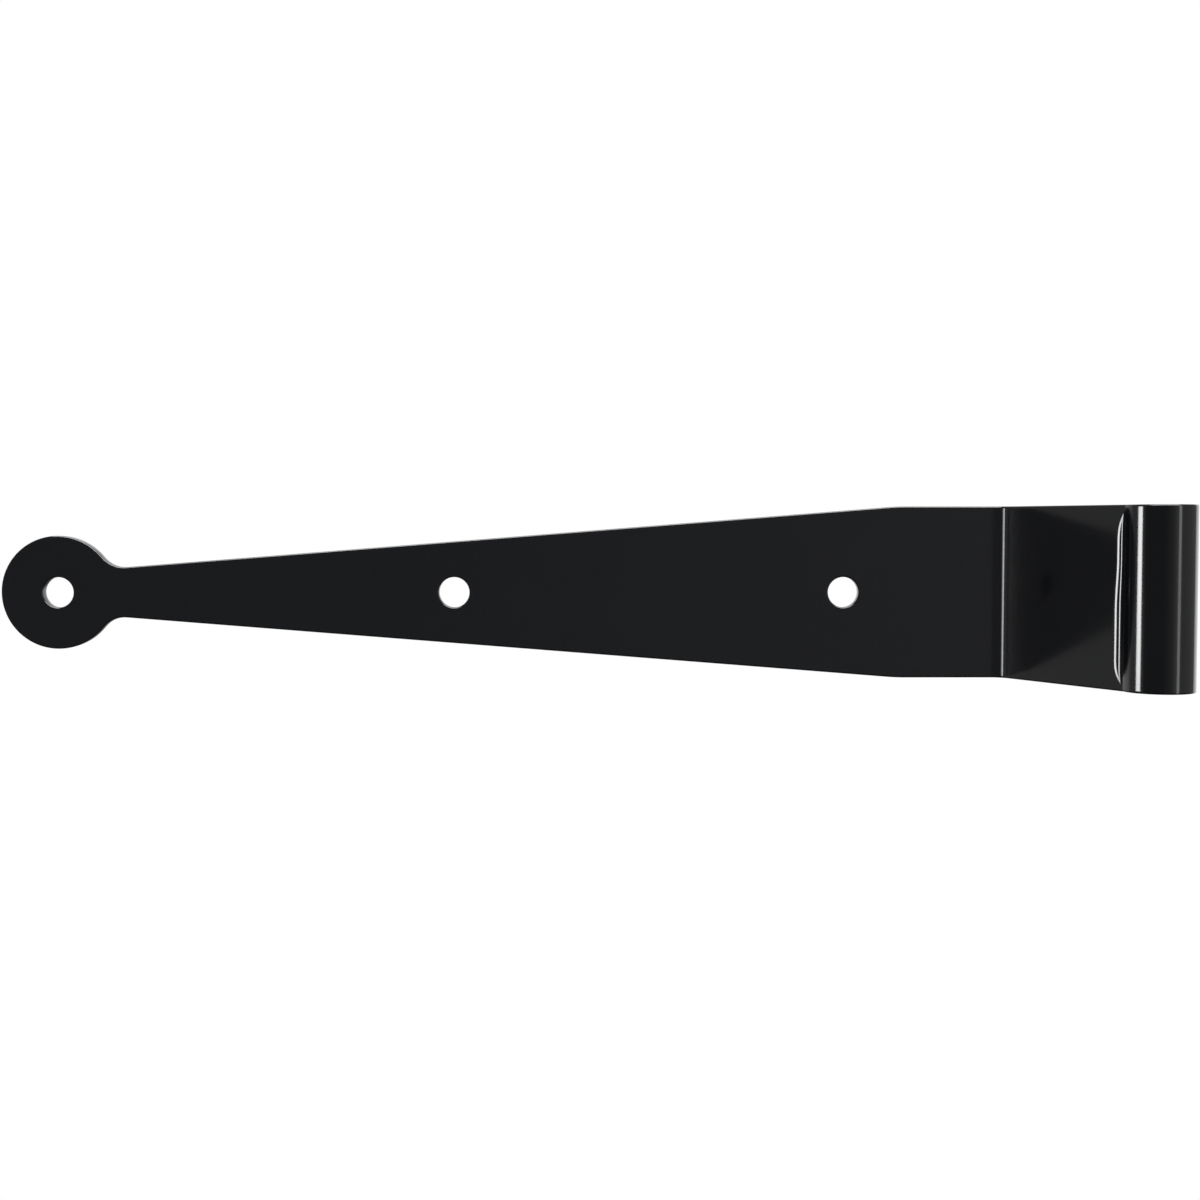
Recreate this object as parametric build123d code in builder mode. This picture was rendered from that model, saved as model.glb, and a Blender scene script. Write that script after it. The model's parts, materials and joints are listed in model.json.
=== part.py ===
from build123d import *
from math import acos, asin, cos, degrees, radians, sin, tan
import os

# Shutter strap hinge, the leaf that is bolted to the shutter.
# It is one strip of sheet: punched to outline, cranked once, and rolled into an eye at its wide end.
# The eye's axis is +Z through the origin. The strap runs to -X, and its bolted face looks to +Y.

# Sheet and overall sizes, in millimetres
sheet_thickness = 2.66
overall_length = 254.2
strap_width = 38.1
edge_round = 0.15

# Outline of the flat blank: a disc, a long taper and a parallel part before the crank
disc_diameter = 25.1
tip_width = 8.8
neck_fillet = 6.35
parallel_length = 23.25
shoulder_radius = 50.0

# Bolt holes, measured from the one in the disc
hole_diameter = 6.75
middle_hole_distance = 87.8
wide_hole_distance = 174.3

# Crank: the leg leaves the plate's plane by this angle, with this radius inside the bend
crank_angle = 60.4
crank_inside_radius = 3.0
leg_length = 32.74

# Crease where the sheet is set back before it rolls up
crease_turn = 21.5
crease_inside_radius = 0.4
crease_valley_radius = 0.9

# Rolled eye for the pin, its step in front of the leg, and the hairline left at its seam
eye_bore = 9.7
eye_step = 1.0
seam_gap = 0.3

# The crease and the eye are three arcs that touch: a ridge, a valley and the roll
ridge_radius = sheet_thickness + crease_inside_radius
eye_radius = eye_bore / 2 + sheet_thickness
eye_depth = eye_radius - eye_step
ridge_drop = ridge_radius * (1 - cos(radians(crease_turn)))
valley_reach = crease_valley_radius * cos(radians(crease_turn))
eye_rise = degrees(acos((eye_depth - ridge_drop + valley_reach) / (eye_radius + crease_valley_radius)))

# The roll stops where its outer corner comes up to the back of the leg
seam_angle = degrees(asin((eye_depth - sheet_thickness - seam_gap) / eye_radius))
eye_wrap = 270 + eye_rise + seam_angle

# Distance along the leg from the crank's corner to the eye's axis
crease_run = (ridge_radius + crease_valley_radius) * sin(radians(crease_turn))
roll_run = (crease_valley_radius + eye_radius) * sin(radians(eye_rise))
eye_distance = leg_length + crease_run + roll_run

# Places in the frame of the eye
leg_cos = cos(radians(crank_angle))
leg_sin = sin(radians(crank_angle))
corner_x = -eye_distance * leg_cos - eye_depth * leg_sin
plate_front_y = eye_distance * leg_sin - eye_depth * leg_cos
bend_length = crank_inside_radius * tan(radians(crank_angle / 2))
crank_start_x = corner_x - bend_length
disc_x = eye_radius - overall_length + disc_diameter / 2
disc_end_x = disc_x - disc_diameter / 2
shoulder_x = corner_x - parallel_length
hole_places = [disc_x, disc_x + middle_hole_distance, disc_x + wide_hole_distance]


def sheet_face(depth):
    """Draw one face of the bent sheet from above, depth behind its front, and return its two ends."""
    face_y = plate_front_y + depth
    plate = Line((disc_end_x, face_y), (crank_start_x, face_y))
    crank = JernArc(plate @ 1, plate % 1, crank_inside_radius + depth, -crank_angle)
    leg = Line(crank @ 1, crank @ 1 + (crank % 1) * (leg_length - bend_length))
    ridge = JernArc(leg @ 1, leg % 1, ridge_radius - depth, crease_turn)
    valley = JernArc(ridge @ 1, ridge % 1, crease_valley_radius + depth, -crease_turn - eye_rise)
    roll = JernArc(valley @ 1, valley % 1, eye_radius - depth, eye_wrap)
    return plate @ 0, roll @ 1


# Blank as it is punched, seen from the front
with BuildSketch(Plane.XZ) as blank:
    with BuildLine():
        Polyline(
            (disc_x, tip_width / 2),
            (shoulder_x, strap_width / 2),
            (eye_radius, strap_width / 2),
            (eye_radius, -strap_width / 2),
            (shoulder_x, -strap_width / 2),
            (disc_x, -tip_width / 2),
            close=True,
        )
    make_face()
    with Locations((disc_x, 0)):
        Circle(disc_diameter / 2)
    neck_and_shoulder = blank.vertices().group_by(Axis.X)
    fillet(neck_and_shoulder[1], radius=shoulder_radius)
    fillet(blank.vertices().group_by(Axis.X)[0], radius=neck_fillet)
    with Locations([(x, 0) for x in hole_places]):
        Circle(hole_diameter / 2, mode=Mode.SUBTRACT)

# Bent sheet at full width, cut to the blank's outline, with its sheared edges rounded
with BuildPart() as strap_leaf:
    with BuildSketch(Plane.XY.offset(-strap_width / 2)):
        with BuildLine():
            front_start, front_end = sheet_face(0)
            back_start, back_end = sheet_face(sheet_thickness)
            Line(front_start, back_start)
            Line(front_end, back_end)
        make_face()
    extrude(amount=strap_width)
    extrude(blank.sketch, amount=plate_front_y + sheet_thickness + eye_radius, both=True, mode=Mode.INTERSECT)
    sheared = strap_leaf.edges().filter_by(Axis.Z, reverse=True).filter_by(Axis.Y, reverse=True)
    fillet(sheared, radius=edge_round)

strap_leaf.part.label = "strap_leaf"
os.makedirs("parts", exist_ok=True)
export_step(strap_leaf.part, "parts/strap_leaf.step")
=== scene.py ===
import json
from math import acos, asin, atan2, cos, pi, radians, sin, tan

import bmesh
import bpy
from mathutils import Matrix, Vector


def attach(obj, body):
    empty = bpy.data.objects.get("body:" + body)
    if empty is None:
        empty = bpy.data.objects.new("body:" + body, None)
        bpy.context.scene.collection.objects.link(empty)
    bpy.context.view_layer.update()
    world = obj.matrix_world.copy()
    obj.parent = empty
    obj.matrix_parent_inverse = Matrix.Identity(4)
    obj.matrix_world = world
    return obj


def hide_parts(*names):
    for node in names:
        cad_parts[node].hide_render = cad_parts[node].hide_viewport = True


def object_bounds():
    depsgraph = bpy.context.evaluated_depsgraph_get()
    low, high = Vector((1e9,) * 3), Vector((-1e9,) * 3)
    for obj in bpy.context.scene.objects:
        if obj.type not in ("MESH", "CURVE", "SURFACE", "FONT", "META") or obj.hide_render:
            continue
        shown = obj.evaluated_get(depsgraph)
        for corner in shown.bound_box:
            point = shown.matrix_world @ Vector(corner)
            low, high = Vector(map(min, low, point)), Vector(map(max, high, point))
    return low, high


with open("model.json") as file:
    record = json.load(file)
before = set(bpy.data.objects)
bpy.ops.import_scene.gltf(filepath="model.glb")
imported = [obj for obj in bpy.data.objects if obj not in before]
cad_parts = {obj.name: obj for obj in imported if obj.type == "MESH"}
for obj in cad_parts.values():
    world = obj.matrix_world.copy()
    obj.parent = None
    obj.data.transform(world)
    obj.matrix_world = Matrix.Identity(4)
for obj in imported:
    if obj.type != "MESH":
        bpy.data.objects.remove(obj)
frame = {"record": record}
cad_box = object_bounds()

bl_info = {
    "name": "Shutter strap hinge leaf",
    "version": (1, 0, 0),
    "blender": (4, 5, 0),
    "location": "View3D > Sidebar > Hinge leaf",
    "description": "Punches, bends and coats the leaf of a shutter strap hinge, and lights it in a studio",
    "category": "Object",
}

MM = 0.001
MOUNTS = {mount["name"]: mount for mount in frame["record"]["mounts"]}
HOLES = ("end_hole", "middle_hole", "wide_hole")

# Three quarters of a turn: the roll without its rise out of the crease and its close to the seam
ROLL_TURN = 1.5 * pi


def mount_radius(name):
    """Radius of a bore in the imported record, in metres."""
    return MOUNTS[name]["dims"]["r_mm"] * MM


def length(name, description, default):
    """A length that a user may change, in metres."""
    return bpy.props.FloatProperty(
        name=name,
        description=description,
        default=default,
        min=0.0,
        precision=5,
        subtype="DISTANCE",
        unit="LENGTH",
    )


def angle(name, description, degrees_of_turn):
    """An angle that a user may change, kept in radians."""
    return bpy.props.FloatProperty(
        name=name,
        description=description,
        default=radians(degrees_of_turn),
        subtype="ANGLE",
        unit="ROTATION",
    )


def number(name, description, default, low=0.0, high=100.0):
    """A plain number that a user may change."""
    return bpy.props.FloatProperty(
        name=name,
        description=description,
        default=default,
        min=low,
        max=high,
        precision=4,
    )


def colour(name, description, default):
    """A colour that a user may change, as linear red, green and blue."""
    return bpy.props.FloatVectorProperty(
        name=name,
        description=description,
        default=default,
        min=0.0,
        max=1.0,
        size=3,
        subtype="COLOR",
    )


# Sizes and looks that a user may change


class BlankSizes(bpy.types.PropertyGroup):
    """Outline of the flat blank as it is punched."""

    thickness: length("Sheet", "Thickness of the sheet", 2.66 * MM)
    width: length("Strap width", "Width of the parallel part", cad_box[1].z - cad_box[0].z)
    disc: length("Disc", "Diameter of the round end", 25.1 * MM)
    tip: length("Tip width", "Width the taper would have at the middle of the disc", 8.8 * MM)
    neck: length("Neck fillet", "Radius where the disc meets the taper", 6.35 * MM)
    parallel: length("Parallel part", "From the end of the taper to the corner of the crank", 23.25 * MM)
    shoulder: length("Shoulder radius", "Radius where the taper meets the parallel part", 50.0 * MM)
    hole: length("Bolt hole", "Diameter of the bolt holes", 2 * mount_radius("end_hole"))
    edge: length("Edge rounding", "Radius of the sheared edges under the coat", 0.3 * MM)


class BendSizes(bpy.types.PropertyGroup):
    """Section of the bent leaf: a crank, a crease that fades towards both edges, and the rolled eye."""

    crank: angle("Crank", "Angle between the plate and the leg", 60.97)
    crank_radius: length("Crank radius", "Radius inside the crank", 3.9 * MM)
    leg: length("Leg", "From the corner of the crank to the crease", 33.34 * MM)
    crease: angle("Crease", "Turn of the crease that the eye is set out from", 21.5)
    ridge_inside: length("Ridge radius", "Radius inside the ridge of the crease", 0.4 * MM)
    valley: length("Valley radius", "Radius of the valley between crease and eye", 0.9 * MM)
    bore: length("Eye bore", "Bore of the rolled eye", 2 * mount_radius("eye_bore"))
    step: length("Eye step", "How far the eye stands in front of the leg", 0.62 * MM)
    seam: length("Seam gap", "Hairline left where the roll closes", 0.3 * MM)
    crease_upper: angle("Upper crease", "Turn of the crease in its upper half", 22.0)
    crease_lower: angle("Lower crease", "Turn of the crease in its lower half, which is deeper", 23.0)
    crease_edge: angle("Crease at the edges", "Turn that is left of the crease at both edges", 5.0)
    valley_upper: length("Upper valley", "Radius of the valley in its upper half", 1.1 * MM)
    valley_lower: length("Lower valley", "Radius of the valley in its lower half", 1.55 * MM)
    valley_end: length("Open valley", "What the valley's radius gains where the crease runs out", 0.3 * MM)
    change_start: length("Start of change", "Depth below the middle where the lower half ends", 2.0 * MM)
    change_end: length("End of change", "Height above the middle where the upper half begins", 8.0 * MM)
    upper_full: length("Full above", "Height above the middle up to which the turn is full", 11.0 * MM)
    upper_end: length("End above", "Height above the middle at which the crease has run out", 17.7 * MM)
    lower_full: length("Full below", "Depth below the middle down to which the turn is full", 12.2 * MM)
    lower_end: length("End below", "Depth below the middle at which the crease has run out", 17.75 * MM)


class CoatLook(bpy.types.PropertyGroup):
    """Black powder coat with a gloss skin, and a painted sheen: the flat plate's base colour is lighter
    than the eye's, standing in for its brighter reflection.
    """

    tone: colour("Coat", "Colour of the coat round the eye", (0.0032, 0.0036, 0.0047))
    # Painted sheen: the plate's colour is lighter than the coat round the eye, standing in for the plate's
    # brighter reflection
    plate_tone_with_painted_sheen: colour("Flat coat", "Colour of the coat on the flat plate", (0.0085, 0.0091, 0.0107))
    gloss: number("Gloss", "Roughness of the coat", 0.092, high=1.0)
    gloss_thin: number("Thin gloss", "Roughness where the coat is a little thinner", 0.112, high=1.0)
    peel: length("Peel", "Height of the faint orange peel", 0.004 * MM)
    peel_size: length("Peel size", "Width of one cell of the orange peel", 1.6 * MM)


class StudioLook(bpy.types.PropertyGroup):
    """Pale floor, white surroundings and five lamps."""

    floor: colour("Floor", "Colour of the floor", (0.80, 0.80, 0.80))
    drop: length("Floor drop", "How far the floor lies below the middle of the eye", 0.30)
    fill: number("Fill", "Plain light from all round on matt surfaces", 0.60)
    white: number("White", "Strength of the white surroundings behind the leaf", 1.0)
    dark: number("Dark", "Strength of the surroundings behind the camera, as reflections show them", 0.12)
    glow: number("Glow", "What the surroundings gain towards the right", 0.27)
    tail: number("Tail", "What the surroundings gain just before the side lamp", 0.35)
    left: number("Left", "Strength of the surroundings at the left, as reflections show them", 0.40)
    right: number("Right", "Strength of the surroundings at the right, as reflections show them", 0.45)
    strip: number("Strip lamp", "Radiance of the small strip lamp beside the eye", 21.5)
    edge: number("Edge lamp", "Radiance of the lamp that only the glossy upper edges show", 15.0)
    top: number("Top lamp", "Radiance of the soft lamp overhead", 4.0)
    side: number("Side lamp", "Radiance of the thin lamp at the right", 2.4)
    rim: number("Rim lamp", "Radiance of the lamp behind the eye, at the right", 1.5)


# Node sums


# Sockets of a Mix node that hold its two colours and the colour it gives
COLOUR_A, COLOUR_B, COLOUR_RESULT = 6, 7, 2


class Wire:
    """A socket in a node tree. Sums on wires add Math nodes, and node() adds any other node."""

    def __init__(self, tree, socket=None):
        self.tree = tree
        self.socket = socket

    def node(self, kind, settings=None, values=None, output=0):
        """Add a node, make its settings, set or link its sockets, and wrap one of its outputs."""
        made = self.tree.nodes.new(kind)
        for name, value in (settings or {}).items():
            setattr(made, name, value)
        for name, value in (values or {}).items():
            if isinstance(value, Wire):
                self.tree.links.new(value.socket, made.inputs[name])
            else:
                made.inputs[name].default_value = value
        return Wire(self.tree, made.outputs[output] if len(made.outputs) else None)

    def math(self, operation, *terms):
        """One Math node."""
        return self.node("ShaderNodeMath", {"operation": operation}, dict(enumerate(terms)))

    def __add__(self, other):
        return self.math("ADD", self, other)

    def __radd__(self, other):
        return self.math("ADD", other, self)

    def __sub__(self, other):
        return self.math("SUBTRACT", self, other)

    def __rsub__(self, other):
        return self.math("SUBTRACT", other, self)

    def __mul__(self, other):
        return self.math("MULTIPLY", self, other)

    def __rmul__(self, other):
        return self.math("MULTIPLY", other, self)

    def __truediv__(self, other):
        return self.math("DIVIDE", self, other)

    def __neg__(self):
        return self.math("MULTIPLY", self, -1.0)

    def sine(self):
        """Sine of an angle in radians."""
        return self.math("SINE", self)

    def cosine(self):
        """Cosine of an angle in radians."""
        return self.math("COSINE", self)

    def ramp(self, start, end, low=0.0, high=1.0):
        """A smooth passage from low at start to high at end."""
        return self.node(
            "ShaderNodeMapRange",
            {"interpolation_type": "SMOOTHSTEP"},
            {"Value": self, "From Min": start, "From Max": end, "To Min": low, "To Max": high},
        )

    def share(self, start, run):
        """How much of a run from start has been passed, from 0 to 1."""
        return self.node("ShaderNodeClamp", None, {"Value": (self - start) / run})

    def parts(self):
        """The X, Y and Z of this vector."""
        parted = self.node("ShaderNodeSeparateXYZ", None, {"Vector": self})
        return [Wire(self.tree, socket) for socket in parted.socket.node.outputs]

    def colour(self, low, high):
        """The colour that lies this share of the way from low to high."""
        values = {"Factor": self, COLOUR_A: (*low, 1.0), COLOUR_B: (*high, 1.0)}
        return self.node("ShaderNodeMix", {"data_type": "RGBA"}, values, COLOUR_RESULT)


# Places worked out from the sizes


class LeafPlan:
    """The outline of the blank and the section that it is bent to, worked out from the sizes."""

    def __init__(self, blank, bends):
        self.blank = blank
        self.bends = bends
        middle = blank.thickness / 2
        self.ridge_radius = blank.thickness + bends.ridge_inside
        self.eye_radius = bends.bore / 2 + blank.thickness
        self.eye_depth = self.eye_radius - bends.step
        self.rise = self.eye_rise(bends.crease)
        self.seam_angle = asin((self.eye_depth - blank.thickness - bends.seam) / self.eye_radius)
        self.eye_distance = bends.leg + self.crease_run(bends.crease) + self.roll_run(self.rise)
        self.bend_length = bends.crank_radius * tan(bends.crank / 2)
        corner_x = -self.eye_distance * cos(bends.crank) - self.eye_depth * sin(bends.crank)
        self.front_y = self.eye_distance * sin(bends.crank) - self.eye_depth * cos(bends.crank)
        self.crank_start = corner_x - self.bend_length
        self.disc_x = cad_box[0].x + blank.disc / 2
        self.shoulder_x = corner_x - blank.parallel
        self.half_width = blank.width / 2
        # Lengths of flat sheet that each bend takes up, measured half way through the sheet
        self.crank_blank = (bends.crank_radius + middle) * bends.crank
        self.leg_blank = bends.leg - self.bend_length
        self.ridge_blank = (self.ridge_radius - middle) * bends.crease
        self.valley_blank = (bends.valley + middle) * (bends.crease + self.rise)
        self.roll_blank = (self.eye_radius - middle) * (ROLL_TURN + self.rise + self.seam_angle)
        self.tip_angle = atan2(self.half_width - blank.tip / 2, self.shoulder_x - self.disc_x)

    def eye_rise(self, turn):
        """Turn from the line of the leg to where the valley touches the eye."""
        drop = self.ridge_radius * (1 - cos(turn))
        reach = self.bends.valley * cos(turn)
        return acos((self.eye_depth - drop + reach) / (self.eye_radius + self.bends.valley))

    def crease_run(self, turn):
        """Length of leg that the crease takes up."""
        return (self.ridge_radius + self.bends.valley) * sin(turn)

    def roll_run(self, rise):
        """Length of leg from the end of the crease to beside the eye's axis."""
        return (self.bends.valley + self.eye_radius) * sin(rise)

    def neck(self):
        """Centre of the upper neck fillet, and where it touches the taper."""
        along = Vector((cos(self.tip_angle), sin(self.tip_angle)))
        across = Vector((-sin(self.tip_angle), cos(self.tip_angle)))
        radius = self.blank.neck
        start = Vector((0.0, self.blank.tip / 2)) + across * radius
        reach = self.blank.disc / 2 + radius
        slide = -start.dot(along) + (start.dot(along) ** 2 + reach**2 - start.length_squared) ** 0.5
        centre = Vector((self.disc_x, 0.0)) + start + along * slide
        return centre, centre - across * radius

    def upper_edge(self, x):
        """Point on the upper edge of the strap at x, and the way that the edge looks there."""
        bend = self.blank.shoulder * tan(self.tip_angle / 2)
        if x >= self.shoulder_x + bend:
            return Vector((x, self.half_width)), Vector((0.0, 1.0))
        if x <= self.shoulder_x - bend * cos(self.tip_angle):
            z = self.blank.tip / 2 + (x - self.disc_x) * tan(self.tip_angle)
            return Vector((x, z)), Vector((-sin(self.tip_angle), cos(self.tip_angle)))
        centre = Vector((self.shoulder_x + bend, self.half_width - self.blank.shoulder))
        outward = Vector((x - centre.x, (self.blank.shoulder**2 - (x - centre.x) ** 2) ** 0.5)).normalized()
        return centre + outward * self.blank.shoulder, outward


def even(start, end, count):
    """Values from start to end in equal steps, both ends included."""
    return [start + (end - start) * step / count for step in range(count + 1)]


# Flat blank


# Steps of the mesh round each outline, across the strap and along each stretch of it
FILLET_STEPS = 5
EDGE_ROWS = 76
DISC_STEPS = 72
NECK_STEPS = 12
SHOULDER_STEPS = 8
PARALLEL_STEPS = 6
CRANK_STEPS = 28
LEG_STEPS = 16
RIDGE_STEPS = 12
VALLEY_STEPS = 24
ROLL_STEPS = 120
TAPER_PITCH = 6.0 * MM
HOLE_PITCH = 1.0 * MM

# Sheet from a bolt hole to the columns beside it, and where the rings between them lie
HOLE_MARGIN = 5.0 * MM
HOLE_RINGS = (0.0, 0.33, 0.66, 1.0)

# Width of the narrow row of faces beside every edge and bend
HOLD = 0.3 * MM


class BlankMaker:
    """Builds the flat blank as a closed mesh: its front, its back and the rounded rims between them."""

    def __init__(self, plan):
        self.plan = plan
        self.mesh = bmesh.new()
        self.rims = {}
        self.edge = plan.blank.edge

    def rim_vertex(self, point, outward):
        """A vertex of the front, set in from the outline by the edge rounding."""
        place = point - outward * self.edge
        vertex = self.mesh.verts.new((place.x, 0.0, place.y))
        self.rims[vertex] = (point, outward)
        return vertex

    def flat_vertex(self, place):
        """A vertex in the middle of the front."""
        return self.mesh.verts.new((place.x, 0.0, place.y))

    def column(self, x, corner=0.0):
        """A row of vertices across the blank at x, upwards. Corner is 1 at the sheared end of the roll."""
        point, outward = self.plan.upper_edge(x)
        outward = outward + Vector((corner, 0.0))
        inner = point - outward * self.edge - Vector((0.0, HOLD))
        bottom = self.rim_vertex(Vector((point.x, -point.y)), Vector((outward.x, -outward.y)))
        top = self.rim_vertex(point, outward)
        middle = []
        for step in range(EDGE_ROWS + 1):
            share = step / EDGE_ROWS
            height = -inner.y * (cos(pi * share) + (1 - 2 * share)) / 2
            if corner:
                middle.append(self.rim_vertex(Vector((point.x, height)), Vector((corner, 0.0))))
            else:
                middle.append(self.flat_vertex(Vector((inner.x, height))))
        return [bottom, *middle, top]

    def join(self, first, second):
        """Faces between two rows of vertices of the same length."""
        for step in range(len(first) - 1):
            self.mesh.faces.new((first[step], second[step], second[step + 1], first[step + 1]))

    def hole_block(self, loop, centre):
        """Fill a closed loop of vertices round a bolt hole."""
        radius = self.plan.blank.hole / 2
        inner = []
        for vertex in loop:
            away = (Vector((vertex.co.x, vertex.co.z)) - centre).normalized()
            inner.append(self.rim_vertex(centre + away * radius, -away))
        rings = [list(loop)]
        for share in HOLE_RINGS:
            ring = []
            for outer, rim in zip(loop, inner):
                span = rim.co - outer.co
                hold = HOLD / span.length
                ring.append(self.mesh.verts.new(outer.co + span * (hold + (1 - 2 * hold) * share)))
            rings.append(ring)
        rings.append(inner)
        for outer_ring, inner_ring in zip(rings, rings[1:]):
            self.join(outer_ring + outer_ring[:1], inner_ring + inner_ring[:1])

    def disc(self, neck_column):
        """The round end, from the neck over the disc and back to the neck."""
        plan = self.plan
        centre = Vector((plan.disc_x, 0.0))
        neck_centre, _ = plan.neck()
        radius = plan.blank.neck
        touch = (neck_centre - centre).normalized()
        disc_start = atan2(touch.y, touch.x)
        upper = []
        for turn in even(plan.tip_angle - pi / 2, disc_start - pi, NECK_STEPS)[1:-1]:
            way = Vector((cos(turn), sin(turn)))
            upper.append((neck_centre + way * radius, -way))
        round_end = []
        for turn in even(disc_start, 2 * pi - disc_start, DISC_STEPS):
            way = Vector((cos(turn), sin(turn)))
            round_end.append((centre + way * plan.blank.disc / 2, way))
        lower = [(Vector((point.x, -point.y)), Vector((out.x, -out.y))) for point, out in reversed(upper)]
        outline = [self.rim_vertex(point, outward) for point, outward in upper + round_end + lower]
        self.hole_block(list(neck_column) + outline, centre)

    def hole_in_strap(self, left, right, centre):
        """A length of the taper with a bolt hole in it, between two columns."""
        tops = []
        bottoms = []
        start, end = left[-1].co.x, right[-1].co.x
        for x in even(start, end, round((end - start) / HOLE_PITCH))[1:-1]:
            point, outward = self.plan.upper_edge(x)
            tops.append(self.rim_vertex(point, outward))
            bottoms.append(self.rim_vertex(Vector((point.x, -point.y)), Vector((outward.x, -outward.y))))
        self.hole_block(right + tops[::-1] + left[::-1] + bottoms, centre)

    def strip(self, columns):
        """Plain sheet through the columns."""
        for left, right in zip(columns, columns[1:]):
            self.join(left, right)

    def close(self):
        """Copy the front to the back and make the rounded rims between them."""
        thickness = self.plan.blank.thickness
        rim_edges = [edge for edge in self.mesh.edges if edge.is_boundary]
        front_faces = list(self.mesh.faces)
        backs = {}
        for vertex in list(self.mesh.verts):
            backs[vertex] = self.mesh.verts.new((vertex.co.x, thickness, vertex.co.z))
        for face in front_faces:
            self.mesh.faces.new([backs[vertex] for vertex in reversed(face.verts)])
        profiles = {}
        quarter = even(0.0, pi / 2, FILLET_STEPS)[1:]
        for vertex, (point, outward) in self.rims.items():
            profile = [vertex]
            steps = [(self.edge * (1 - sin(turn)), self.edge * (1 - cos(turn))) for turn in quarter]
            for inset, depth in steps + [(inset, thickness - depth) for inset, depth in reversed(steps)]:
                place = point - outward * inset
                profile.append(self.mesh.verts.new((place.x, depth, place.y)))
            profiles[vertex] = profile + [backs[vertex]]
        for edge in rim_edges:
            self.join(profiles[edge.verts[0]], profiles[edge.verts[1]])
        bmesh.ops.recalc_face_normals(self.mesh, faces=self.mesh.faces)


def blank_mesh(plan):
    """The flat blank, lying where the plate will be, with its spare length straight on past the crank."""
    maker = BlankMaker(plan)
    _, neck_touch = plan.neck()
    holes = [Vector((MOUNTS[name]["pos_m"][0], 0.0)) for name in HOLES]
    reach = plan.blank.hole / 2 + HOLE_MARGIN
    neck_column = maker.column(neck_touch.x)
    maker.disc(neck_column)
    last = neck_column
    last_x = neck_touch.x
    for hole in holes[1:]:
        stops = even(last_x, hole.x - reach, round((hole.x - reach - last_x) / TAPER_PITCH))[1:]
        columns = [last] + [maker.column(x) for x in stops]
        maker.strip(columns)
        last_x = hole.x + reach
        last = maker.column(last_x)
        maker.hole_in_strap(columns[-1], last, hole)
    shoulder = plan.blank.shoulder * tan(plan.tip_angle / 2)
    stops = [last_x, plan.shoulder_x - shoulder]
    stops += even(stops[-1], plan.shoulder_x + shoulder, SHOULDER_STEPS)[1:]
    stops += even(stops[-1], plan.crank_start - 2 * HOLD, PARALLEL_STEPS)[1:]
    for run, count in (
        (2 * HOLD, 1),
        (plan.crank_blank, CRANK_STEPS),
        (2 * HOLD, 1),
        (plan.leg_blank - 4 * HOLD, LEG_STEPS),
        (2 * HOLD, 1),
        (plan.ridge_blank, RIDGE_STEPS),
        (plan.valley_blank, VALLEY_STEPS),
        (plan.roll_blank - 2 * HOLD, ROLL_STEPS),
    ):
        stops += even(stops[-1], stops[-1] + run, count)[1:]
    columns = [last] + [maker.column(x) for x in stops[1:]]
    columns.append(maker.column(stops[-1] + 2 * HOLD, corner=1.0))
    maker.strip(columns)
    maker.close()
    mesh = bpy.data.meshes.new("strap_blank")
    maker.mesh.to_mesh(mesh)
    maker.mesh.free()
    return mesh


# Bending


# How late and sharply the crease runs out: 1 is an even loss of turn over the height
RUN_OUT_POWER = 3.0


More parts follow.
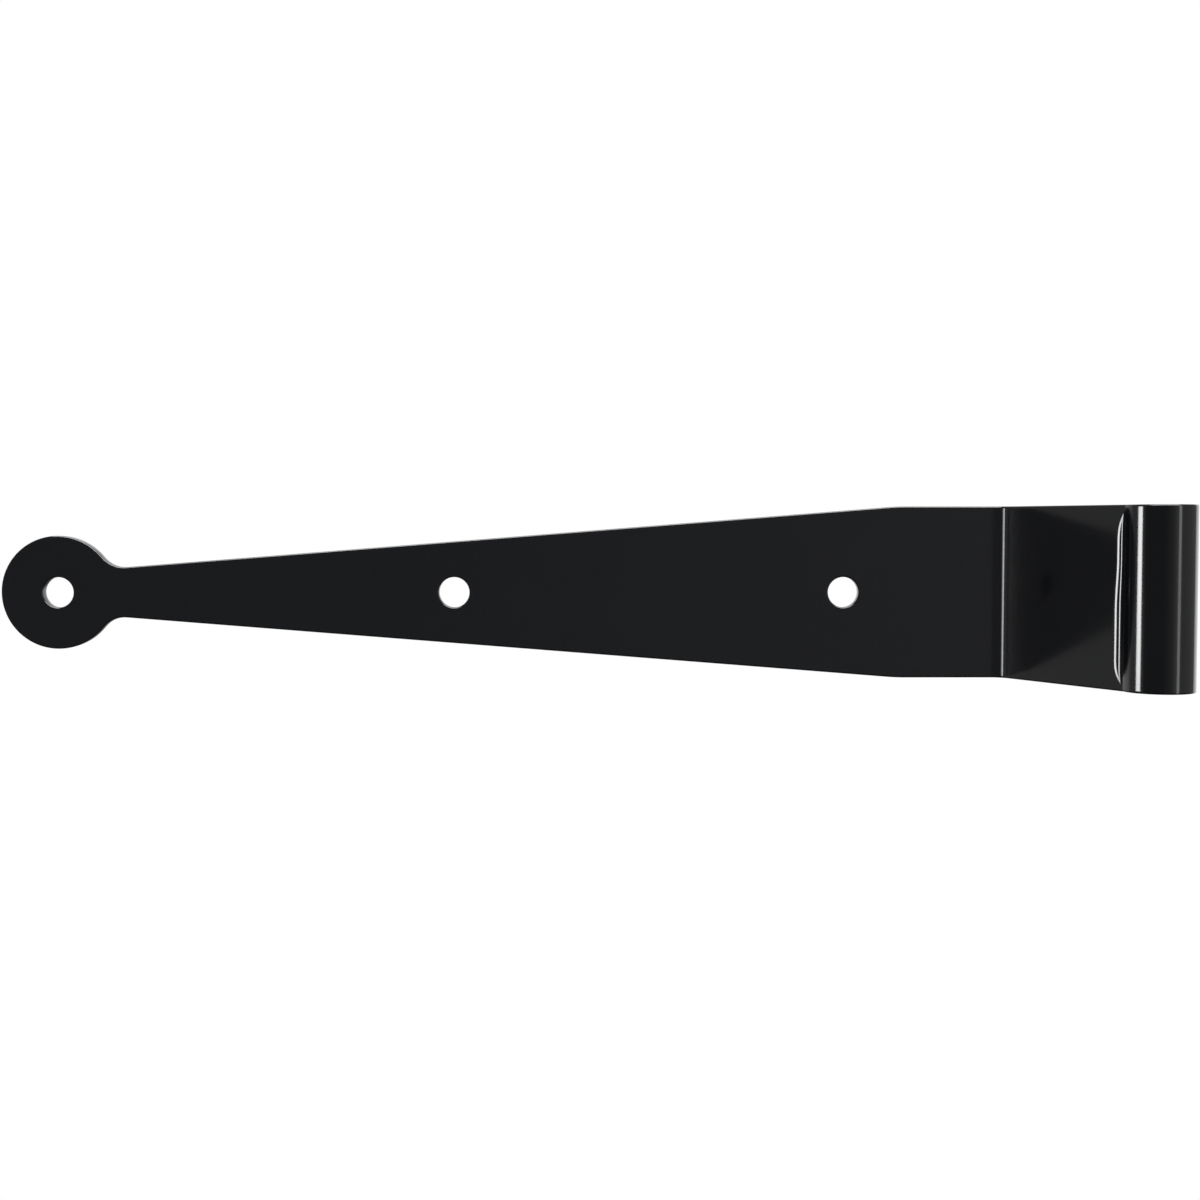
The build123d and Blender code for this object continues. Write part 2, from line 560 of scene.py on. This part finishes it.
def bend_tree(names):
    """Geometry nodes that bend the flat blank along the section, with the crease fading up and down."""
    tree = bpy.data.node_groups.new("Bend the blank", "GeometryNodeTree")
    tree.interface.new_socket(name="Geometry", in_out="INPUT", socket_type="NodeSocketGeometry")
    for name in names:
        tree.interface.new_socket(name=name, in_out="INPUT", socket_type="NodeSocketFloat")
    tree.interface.new_socket(name="Coat", in_out="INPUT", socket_type="NodeSocketMaterial")
    tree.interface.new_socket(name="Geometry", in_out="OUTPUT", socket_type="NodeSocketGeometry")
    entry = tree.nodes.new("NodeGroupInput")
    size = {socket.name: Wire(tree, socket) for socket in entry.outputs if socket.name}
    wire = Wire(tree)
    along, depth, height = wire.node("GeometryNodeInputPosition").parts()

    # The crease is pressed deeper in its lower half and runs out towards both edges
    change = (-size["Change Start"], size["Change End"])
    pressed = height.ramp(*change, size["Lower Crease"], size["Upper Crease"])
    hollow = height.ramp(*change, size["Lower Valley"], size["Upper Valley"])
    above = height.share(size["Upper Full"], size["Upper End"] - size["Upper Full"])
    below = (-height).share(size["Lower Full"], size["Lower End"] - size["Lower Full"])
    run_out = wire.math("POWER", above + below, RUN_OUT_POWER)
    turn = pressed + (size["Edge Crease"] - pressed) * run_out
    valley = hollow + size["Open Valley"] * run_out

    # The valley always touches the eye, so the leg gives up what the crease takes
    ridge, eye = size["Ridge Radius"], size["Eye Radius"]
    drop = ridge * (1.0 - turn.cosine())
    rise = wire.math("ARCCOSINE", (size["Eye Depth"] - drop + valley * turn.cosine()) / (eye + valley))
    crease_run = (ridge + valley) * turn.sine()
    roll_run = (valley + eye) * rise.sine()
    leg_run = size["Eye Distance"] - size["Bend Length"] - crease_run - roll_run

    # Walk the front face from the crank to the seam
    start = size["Crank Start"]
    x = wire.math("MINIMUM", along, start)
    y = size["Front Y"]
    share = along.share(start, size["Crank Blank"])
    heading = -size["Crank Turn"] * share
    x = x - size["Crank Radius"] * heading.sine()
    y = y - size["Crank Radius"] * (1.0 - heading.cosine())
    start = start + size["Crank Blank"]
    share = along.share(start, size["Leg Blank"])
    x = x + leg_run * share * heading.cosine()
    y = y + leg_run * share * heading.sine()
    start = start + size["Leg Blank"]
    for blank, radius, full_turn in (
        (size["Ridge Blank"], ridge, turn),
        (size["Valley Blank"], -valley, -(turn + rise)),
        (size["Roll Blank"], eye, rise + size["Seam Angle"] + ROLL_TURN),
    ):
        turned = heading + full_turn * along.share(start, blank)
        x = x + radius * (turned.sine() - heading.sine())
        y = y + radius * (heading.cosine() - turned.cosine())
        heading = turned
        start = start + blank

    bent_x = x - depth * heading.sine()
    bent_y = y + depth * heading.cosine()
    bent = wire.node("ShaderNodeCombineXYZ", None, {"X": bent_x, "Y": bent_y, "Z": height})
    leaf = wire.node("GeometryNodeSetPosition", None, {"Geometry": size["Geometry"], "Position": bent})
    leaf = wire.node("GeometryNodeSetShadeSmooth", None, {0: leaf, "Shade Smooth": True})
    leaf = wire.node("GeometryNodeRealizeInstances", None, {0: leaf})
    leaf = wire.node("GeometryNodeSetMaterial", None, {"Geometry": leaf, "Material": size["Coat"]})
    tree.links.new(leaf.socket, tree.nodes.new("NodeGroupOutput").inputs[0])
    return tree


def bend(plan, coat):
    """Bend the blank with the tree and return the leaf as a plain mesh."""
    bends = plan.bends
    values = {
        "Crank Start": plan.crank_start,
        "Front Y": plan.front_y,
        "Crank Turn": bends.crank,
        "Crank Radius": bends.crank_radius,
        "Bend Length": plan.bend_length,
        "Eye Distance": plan.eye_distance,
        "Eye Depth": plan.eye_depth,
        "Ridge Radius": plan.ridge_radius,
        "Eye Radius": plan.eye_radius,
        "Seam Angle": plan.seam_angle,
        "Crank Blank": plan.crank_blank,
        "Leg Blank": plan.leg_blank,
        "Ridge Blank": plan.ridge_blank,
        "Valley Blank": plan.valley_blank,
        "Roll Blank": plan.roll_blank,
        "Upper Crease": bends.crease_upper,
        "Lower Crease": bends.crease_lower,
        "Edge Crease": bends.crease_edge,
        "Upper Valley": bends.valley_upper,
        "Lower Valley": bends.valley_lower,
        "Open Valley": bends.valley_end,
        "Change Start": bends.change_start,
        "Change End": bends.change_end,
        "Upper Full": bends.upper_full,
        "Upper End": bends.upper_end,
        "Lower Full": bends.lower_full,
        "Lower End": bends.lower_end,
    }
    tree = bend_tree(list(values))
    values["Coat"] = coat
    blank = bpy.data.objects.new("strap_blank", blank_mesh(plan))
    bpy.context.scene.collection.objects.link(blank)
    bending = blank.modifiers.new("Bend the blank", "NODES")
    bending.node_group = tree
    for socket in tree.interface.items_tree:
        if socket.in_out == "INPUT" and socket.name in values:
            bending[socket.identifier] = values[socket.name]
    evaluated = bpy.context.evaluated_depsgraph_get()
    mesh = bpy.data.meshes.new_from_object(blank.evaluated_get(evaluated))
    mesh.name = "coated_leaf"
    bpy.data.objects.remove(blank)
    return mesh


# Finish


# Clouds of thinner coat: their size, how broken they are, where thin passes into full, and their tone,
# which only dims the painted sheen on the plate
CLOUD_SIZE = 30.0 * MM
CLOUD_DETAIL = {"Detail": 3.0, "Roughness": 0.55}
THIN_COAT = (0.35, 0.70)
THIN_TONE = 0.85

# Where along the strap the colour passes from the leg's darker coat to the plate's lighter one, which is
# painted sheen standing in for the plate's brighter reflection, and the share of it at the crank
PAINTED_SHEEN_AT_CRANK = (-22.0 * MM, -26.0 * MM)
PAINTED_SHEEN_ALONG_PLATE = (-40.0 * MM, -120.0 * MM)
PAINTED_SHEEN_CRANK_SHARE = 0.82

PEEL_DETAIL = {"Detail": 1.0, "Roughness": 0.4}
COAT_IOR = 1.5


def powder_coat(look):
    """Nearly black and glossy, with faint clouds of thinner coat, a faint orange peel, and a painted sheen:
    the base colour lightens from the crank out along the plate.
    """
    material = bpy.data.materials.new("black_powder_coat")
    material.use_nodes = True
    tree = material.node_tree
    tree.nodes.clear()
    wire = Wire(tree)
    place = wire.node("ShaderNodeTexCoord", output="Object")
    cloud_values = {"Vector": place, "Scale": 1 / CLOUD_SIZE, **CLOUD_DETAIL}
    cloud = wire.node("ShaderNodeTexNoise", None, cloud_values)
    along, _, _ = place.parts()
    # Painted sheen: the base colour is lightened from the crank out along the plate, and the thin-coat
    # clouds vary it
    flat = along.ramp(*PAINTED_SHEEN_AT_CRANK, 0.0, PAINTED_SHEEN_CRANK_SHARE) + along.ramp(*PAINTED_SHEEN_ALONG_PLATE, 0.0, 1.0 - PAINTED_SHEEN_CRANK_SHARE)
    flat = flat * cloud.ramp(*THIN_COAT, THIN_TONE, 1.0)
    tone = flat.colour(look.tone, look.plate_tone_with_painted_sheen)
    peel_values = {"Vector": place, "Scale": 1 / look.peel_size, **PEEL_DETAIL}
    peel = wire.node("ShaderNodeTexNoise", None, peel_values)
    skin = wire.node("ShaderNodeBump", None, {"Strength": 1.0, "Distance": look.peel, "Height": peel})
    coat = wire.node(
        "ShaderNodeBsdfPrincipled",
        None,
        {
            "Base Color": tone,
            "Roughness": cloud.ramp(*THIN_COAT, look.gloss, look.gloss_thin),
            "IOR": COAT_IOR,
            "Normal": skin,
        },
    )
    wire.node("ShaderNodeOutputMaterial", None, {"Surface": coat})
    return material


# Studio


CAMERA_FOCAL_PIXELS = 1622.0
PICTURE_PIXELS = 1200
SENSOR_WIDTH = 36.0
CAMERA_RIGHT_OF_END_HOLE = 118.0 * MM
CAMERA_BEFORE_PLATE = 360.1 * MM
CAMERA_HEIGHT = 14.64 * MM
CAMERA_TILT = radians(2.6)
CAMERA_SWING = radians(0.35)
CAMERA_NEAR = 10.0 * MM

# The floor's span, the distance from its middle over which it clears, and its faint grain
FLOOR_SPAN = 3.0
FLOOR_CLEAR = (0.20, 0.40)
FLOOR_GRAIN = {"Scale": 40.0, "Detail": 3.0}
FLOOR_DARKER = 0.97

# Azimuth from -Y towards -X, elevation and distance of each lamp as seen from the eye, and its size
STRIP_PLACE = (radians(80.5), radians(-1.5), 0.13)
STRIP_SIZE = (0.033, 0.066)
STRIP_SPREAD = radians(46.0)
TOP_PLACE = (0.0, radians(80.0), 1.0)
TOP_SIZE = (1.0, 0.8)
EDGE_PLACE = (0.0, radians(62.0), 0.9)
EDGE_SIZE = (1.2, 0.5)
SIDE_PLACE = (radians(-40.7), 0.0, 1.2)
SIDE_SIZE = (0.18, 1.2)
RIM_PLACE = (radians(-128.0), 0.0, 1.2)
RIM_SIZE = (0.9, 1.2)

# Where the surroundings change, by the X, Y or Z of the way that a reflection looks
GLOW_RISES = (-0.20, 0.70)
TAIL_RISES = (0.30, 0.64)
LEFT_STARTS = (-0.48, -0.30)
RIGHT_STARTS = (-0.76, -0.62)
LEFT_TO_RIGHT = (-0.5, 0.5)
WHITE_STARTS = (0.30, 0.60)
DARK_BELOW = (-0.35, -0.12)
DARK_SHARE = 0.1
RAYS = ("Is Camera Ray", "Is Glossy Ray", "Is Transmission Ray")


def camera(plan):
    """The camera in front of the strap, a little above its middle."""
    data = bpy.data.cameras.new("Camera")
    data.sensor_width = SENSOR_WIDTH
    data.lens = SENSOR_WIDTH * CAMERA_FOCAL_PIXELS / PICTURE_PIXELS
    data.clip_start = CAMERA_NEAR
    holder = bpy.data.objects.new("Camera", data)
    end_hole_x = MOUNTS["end_hole"]["pos_m"][0]
    holder.location = (
        end_hole_x + CAMERA_RIGHT_OF_END_HOLE,
        plan.front_y - CAMERA_BEFORE_PLATE,
        CAMERA_HEIGHT,
    )
    holder.rotation_euler = (pi / 2 - CAMERA_TILT, 0.0, -CAMERA_SWING)
    bpy.context.scene.collection.objects.link(holder)
    bpy.context.scene.camera = holder


def lamp(name, place, size, radiance, spread=pi, lights_all=True):
    """A rectangular lamp that looks at the eye. Only glossy surfaces show it if it doesn't light all."""
    data = bpy.data.lights.new(name, "AREA")
    data.shape = "RECTANGLE"
    data.size, data.size_y = size
    data.energy = radiance * pi * size[0] * size[1]
    if spread < pi:
        # A narrower spread takes less power for the same radiance
        data.spread = spread
        data.energy *= 1 - spread / 2 / tan(spread / 2)
    holder = bpy.data.objects.new(name, data)
    azimuth, elevation, distance = place
    flat = cos(elevation)
    way = Vector((-sin(azimuth) * flat, -cos(azimuth) * flat, sin(elevation)))
    holder.location = way * distance
    holder.rotation_mode = "QUATERNION"
    holder.rotation_quaternion = way.to_track_quat("Z", "Y")
    holder.visible_camera = False
    holder.visible_diffuse = lights_all
    bpy.context.scene.collection.objects.link(holder)


def floor(look, middle_x):
    """A plain pale floor that passes into the white surroundings."""
    mesh = bpy.data.meshes.new("floor")
    board = bmesh.new()
    bmesh.ops.create_grid(board, x_segments=1, y_segments=1, size=FLOOR_SPAN / 2)
    board.to_mesh(mesh)
    board.free()
    for vertex in mesh.vertices:
        vertex.co += Vector((middle_x, 0.0, -look.drop))
    material = bpy.data.materials.new("pale_floor")
    material.use_nodes = True
    tree = material.node_tree
    tree.nodes.clear()
    wire = Wire(tree)
    place = wire.node("ShaderNodeTexCoord", output="Object")
    centred = wire.node(
        "ShaderNodeVectorMath", {"operation": "SUBTRACT"}, {0: place, 1: (middle_x, 0.0, -look.drop)}
    )
    away = wire.node("ShaderNodeVectorMath", {"operation": "LENGTH"}, {0: centred}, "Value")
    grain = wire.node("ShaderNodeTexNoise", None, {"Vector": place, **FLOOR_GRAIN})
    shade = grain.colour([tone * FLOOR_DARKER for tone in look.floor], look.floor)
    matt = wire.node("ShaderNodeBsdfDiffuse", None, {"Color": shade})
    clear = wire.node("ShaderNodeBsdfTransparent")
    mixed = wire.node("ShaderNodeMixShader", None, {0: away.ramp(*FLOOR_CLEAR), 1: matt, 2: clear})
    wire.node("ShaderNodeOutputMaterial", None, {"Surface": mixed})
    mesh.materials.append(material)
    board_object = bpy.data.objects.new("floor", mesh)
    board_object.visible_glossy = False
    bpy.context.scene.collection.objects.link(board_object)


def surroundings(look):
    """White surroundings behind the leaf, which reflections show as darker behind the camera."""
    world = bpy.data.worlds.new("Studio")
    world.use_nodes = True
    tree = world.node_tree
    tree.nodes.clear()
    wire = Wire(tree)
    side, back, up = wire.node("ShaderNodeTexCoord", output="Generated").parts()
    rays = {name: wire.node("ShaderNodeLightPath", output=name) for name in RAYS}
    front = look.dark + side.ramp(*GLOW_RISES, 0.0, look.glow) + side.ramp(*TAIL_RISES, 0.0, look.tail)
    at_left = back.ramp(*LEFT_STARTS, front, look.left)
    at_right = back.ramp(*RIGHT_STARTS, front, look.right)
    reflected = at_left + (at_right - at_left) * side.ramp(*LEFT_TO_RIGHT)
    reflected = reflected + (look.white - reflected) * back.ramp(*WHITE_STARTS)
    reflected = reflected * up.ramp(*DARK_BELOW, DARK_SHARE, 1.0)
    seen = rays["Is Camera Ray"] * look.white + (1.0 - rays["Is Camera Ray"]) * reflected
    shown = wire.math("MINIMUM", sum(rays.values()), 1.0)
    strength = shown * seen + (1.0 - shown) * look.fill
    sky = wire.node("ShaderNodeBackground", None, {"Color": (1.0, 1.0, 1.0, 1.0), "Strength": strength})
    wire.node("ShaderNodeOutputWorld", None, {"Surface": sky})
    bpy.context.scene.world = world


# Operators


class HINGE_OT_strap_leaf(bpy.types.Operator):
    """Punch the blank, bend it into the leaf and coat it"""

    bl_idname = "hinge.strap_leaf"
    bl_label = "Strap leaf"

    def execute(self, context):
        scene = context.scene
        plan = LeafPlan(scene.hinge_blank, scene.hinge_bends)
        mesh = bend(plan, powder_coat(scene.hinge_coat))
        leaf = bpy.data.objects.new("coated_leaf", mesh)
        scene.collection.objects.link(leaf)
        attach(leaf, "root")
        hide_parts("strap_leaf")
        return {"FINISHED"}


class HINGE_OT_studio(bpy.types.Operator):
    """Set the camera, the floor, the white surroundings and the lamps"""

    bl_idname = "hinge.studio"
    bl_label = "Studio"

    def execute(self, context):
        scene = context.scene
        look = scene.hinge_studio
        camera(LeafPlan(scene.hinge_blank, scene.hinge_bends))
        floor(look, (cad_box[0].x + cad_box[1].x) / 2)
        surroundings(look)
        lamp("Strip lamp", STRIP_PLACE, STRIP_SIZE, look.strip, STRIP_SPREAD, lights_all=False)
        lamp("Top lamp", TOP_PLACE, TOP_SIZE, look.top)
        lamp("Edge lamp", EDGE_PLACE, EDGE_SIZE, look.edge, lights_all=False)
        lamp("Side lamp", SIDE_PLACE, SIDE_SIZE, look.side, lights_all=False)
        lamp("Rim lamp", RIM_PLACE, RIM_SIZE, look.rim, lights_all=False)
        scene.view_settings.view_transform = "Standard"
        return {"FINISHED"}


class HINGE_PT_leaf(bpy.types.Panel):
    """Lists the steps that make the leaf and its studio"""

    bl_idname = "HINGE_PT_leaf"
    bl_label = "Hinge leaf"
    bl_space_type = "VIEW_3D"
    bl_region_type = "UI"
    bl_category = "Hinge leaf"

    def draw(self, context):
        for step in STEPS:
            self.layout.operator(step.bl_idname)
        for name in SETTINGS:
            box = self.layout.box()
            settings = getattr(context.scene, name)
            for prop in settings.bl_rna.properties:
                if prop.identifier in settings.__annotations__:
                    box.prop(settings, prop.identifier)


STEPS = (HINGE_OT_strap_leaf, HINGE_OT_studio)
SETTINGS = {
    "hinge_blank": BlankSizes,
    "hinge_bends": BendSizes,
    "hinge_coat": CoatLook,
    "hinge_studio": StudioLook,
}


def register():
    """Register the settings, the steps and the panel."""
    for name, group in SETTINGS.items():
        bpy.utils.register_class(group)
        setattr(bpy.types.Scene, name, bpy.props.PointerProperty(type=group))
    for step in STEPS:
        bpy.utils.register_class(step)
    bpy.utils.register_class(HINGE_PT_leaf)


def unregister():
    """Take the panel, the steps and the settings away again."""
    bpy.utils.unregister_class(HINGE_PT_leaf)
    for step in reversed(STEPS):
        bpy.utils.unregister_class(step)
    for name, group in SETTINGS.items():
        delattr(bpy.types.Scene, name)
        bpy.utils.unregister_class(group)


def main():
    """Make the leaf and its studio."""
    register()
    bpy.ops.hinge.strap_leaf()
    bpy.ops.hinge.studio()


if __name__ == "__main__":
    main()
